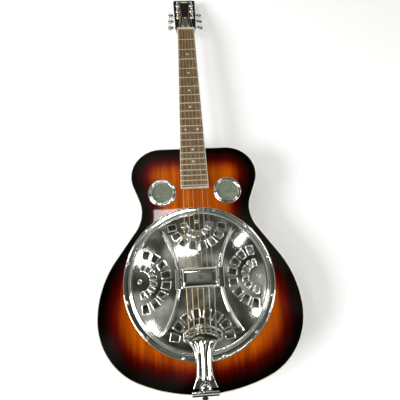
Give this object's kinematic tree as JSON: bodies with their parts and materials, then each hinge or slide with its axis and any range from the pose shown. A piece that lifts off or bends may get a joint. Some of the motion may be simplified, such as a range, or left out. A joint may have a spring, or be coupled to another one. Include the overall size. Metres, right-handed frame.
{
  "type": "resonator guitar",
  "caption": "Acoustic resonator guitar with a sunburst wooden body, a domed slotted metal coverplate over a cone, screened sound holes, a hinged tailpiece and geared tuners.",
  "frame": {"origin": "on the flat back face, directly below the centre of the cone and coverplate", "axes": "+Z out of the soundboard, +Y along the strings towards the headstock, +X towards the treble side"},
  "size_m": [0.396, 1.0305, 0.1219],
  "materials": {
    "spruce_top": "amber-red sunburst under gloss lacquer",
    "side_wood": "near-black sunburst under gloss lacquer",
    "back_wood": "dark sunburst under gloss lacquer",
    "inner_wood": "bare wood",
    "soundwell_wood": "bare plywood",
    "neck_wood": "gloss dark stain",
    "headstock_black": "black gloss lacquer",
    "rosewood": "oiled rosewood",
    "cream_binding": "gloss cream",
    "pearl": "pearl",
    "nut_bone": "polished bone-coloured",
    "saddle_maple": "bare maple",
    "black_plastic": "gloss black",
    "coverplate_chrome": "mirror chrome",
    "hardware_chrome": "mirror chrome",
    "fret_wire": "polished nickel silver",
    "steel": "plain steel",
    "plain_string": "bright plain wire",
    "wound_string": "bronze wrap",
    "spun_aluminium": "spun satin",
    "cast_aluminium": "as cast",
    "screen_mesh": "dull woven wire"
  },
  "bodies": {
    "guitar": {"body_sides": "side_wood", "soundboard": "spruce_top", "back": "back_wood", "top_binding": "cream_binding", "back_binding": "cream_binding", "top_lining": "inner_wood", "back_lining": "inner_wood", "neck_block": "inner_wood", "tail_block": "inner_wood", "back_braces": "inner_wood", "soundwell": "soundwell_wood", "cone": "spun_aluminium", "spider": "cast_aluminium", "saddle_inserts": "saddle_maple", "tension_screw": "steel", "coverplate": "coverplate_chrome", "handrest": "hardware_chrome", "handrest_screws": "hardware_chrome", "coverplate_screws": "hardware_chrome", "screen_rings": "hardware_chrome", "screen_meshes": "screen_mesh", "neck": "neck_wood", "truss_rod": "steel", "truss_rod_cover": "black_plastic", "truss_cover_screws": "hardware_chrome", "headstock_veneer": "headstock_black", "headstock_inlay": "pearl", "fingerboard": "rosewood", "fingerboard_binding": "cream_binding", "position_dots": "pearl", "frets": "fret_wire", "nut": "nut_bone", "extension_wedge": "neck_wood", "string_1": "plain_string", "string_2": "plain_string", "string_3": "wound_string", "string_4": "wound_string", "string_5": "wound_string", "string_6": "wound_string", "tail_bracket": "hardware_chrome", "hinge_pin": "steel", "bracket_screws": "hardware_chrome", "end_button": "black_plastic", "tuner_housings": "hardware_chrome", "tuner_screws": "hardware_chrome", "tuner_bushings": "hardware_chrome"},
    "tailpiece": {"tailpiece": "hardware_chrome"},
    "button_1": {"tuner_button_1": "hardware_chrome"},
    "post_1": {"tuner_post_1": "hardware_chrome"},
    "button_2": {"tuner_button_2": "hardware_chrome"},
    "post_2": {"tuner_post_2": "hardware_chrome"},
    "button_3": {"tuner_button_3": "hardware_chrome"},
    "post_3": {"tuner_post_3": "hardware_chrome"},
    "button_4": {"tuner_button_4": "hardware_chrome"},
    "post_4": {"tuner_post_4": "hardware_chrome"},
    "button_5": {"tuner_button_5": "hardware_chrome"},
    "post_5": {"tuner_post_5": "hardware_chrome"},
    "button_6": {"tuner_button_6": "hardware_chrome"},
    "post_6": {"tuner_post_6": "hardware_chrome"}
  },
  "joints": [
    {"name": "tailpiece_hinge", "type": "hinge", "parent": "guitar", "child": "tailpiece", "pos_m": [0, -0.197, 0.0891], "axis": [1, 0, 0], "range_deg": [0, 1]},
    {"name": "button_1_turn", "type": "hinge", "parent": "guitar", "child": "button_1", "pos_m": [0.019, 0.69722, 0.03365], "axis": [1, 0, 0], "continuous": true},
    {"name": "post_1_turn", "type": "hinge", "parent": "guitar", "child": "post_1", "pos_m": [0.019, 0.71237, 0.05013], "axis": [0, 0.274, 0.9617], "continuous": true},
    {"name": "button_2_turn", "type": "hinge", "parent": "guitar", "child": "button_2", "pos_m": [0.019, 0.7304, 0.0242], "axis": [1, 0, 0], "continuous": true},
    {"name": "post_2_turn", "type": "hinge", "parent": "guitar", "child": "post_2", "pos_m": [0.019, 0.74555, 0.04068], "axis": [0, 0.274, 0.9617], "continuous": true},
    {"name": "button_3_turn", "type": "hinge", "parent": "guitar", "child": "button_3", "pos_m": [0.019, 0.76358, 0.01474], "axis": [1, 0, 0], "continuous": true},
    {"name": "post_3_turn", "type": "hinge", "parent": "guitar", "child": "post_3", "pos_m": [0.019, 0.77873, 0.03123], "axis": [0, 0.274, 0.9617], "continuous": true},
    {"name": "button_4_turn", "type": "hinge", "parent": "guitar", "child": "button_4", "pos_m": [-0.019, 0.76358, 0.01474], "axis": [-1, 0, 0], "continuous": true},
    {"name": "post_4_turn", "type": "hinge", "parent": "guitar", "child": "post_4", "pos_m": [-0.019, 0.77873, 0.03123], "axis": [0, 0.274, 0.9617], "continuous": true},
    {"name": "button_5_turn", "type": "hinge", "parent": "guitar", "child": "button_5", "pos_m": [-0.019, 0.7304, 0.0242], "axis": [-1, 0, 0], "continuous": true},
    {"name": "post_5_turn", "type": "hinge", "parent": "guitar", "child": "post_5", "pos_m": [-0.019, 0.74555, 0.04068], "axis": [0, 0.274, 0.9617], "continuous": true},
    {"name": "button_6_turn", "type": "hinge", "parent": "guitar", "child": "button_6", "pos_m": [-0.019, 0.69722, 0.03365], "axis": [-1, 0, 0], "continuous": true},
    {"name": "post_6_turn", "type": "hinge", "parent": "guitar", "child": "post_6", "pos_m": [-0.019, 0.71237, 0.05013], "axis": [0, 0.274, 0.9617], "continuous": true}
  ],
  "couplings": [
    {"joint": "post_1_turn", "follows": "button_1_turn", "ratio": -0.071429},
    {"joint": "post_2_turn", "follows": "button_2_turn", "ratio": -0.071429},
    {"joint": "post_3_turn", "follows": "button_3_turn", "ratio": -0.071429},
    {"joint": "post_4_turn", "follows": "button_4_turn", "ratio": 0.071429},
    {"joint": "post_5_turn", "follows": "button_5_turn", "ratio": 0.071429},
    {"joint": "post_6_turn", "follows": "button_6_turn", "ratio": 0.071429}
  ]
}
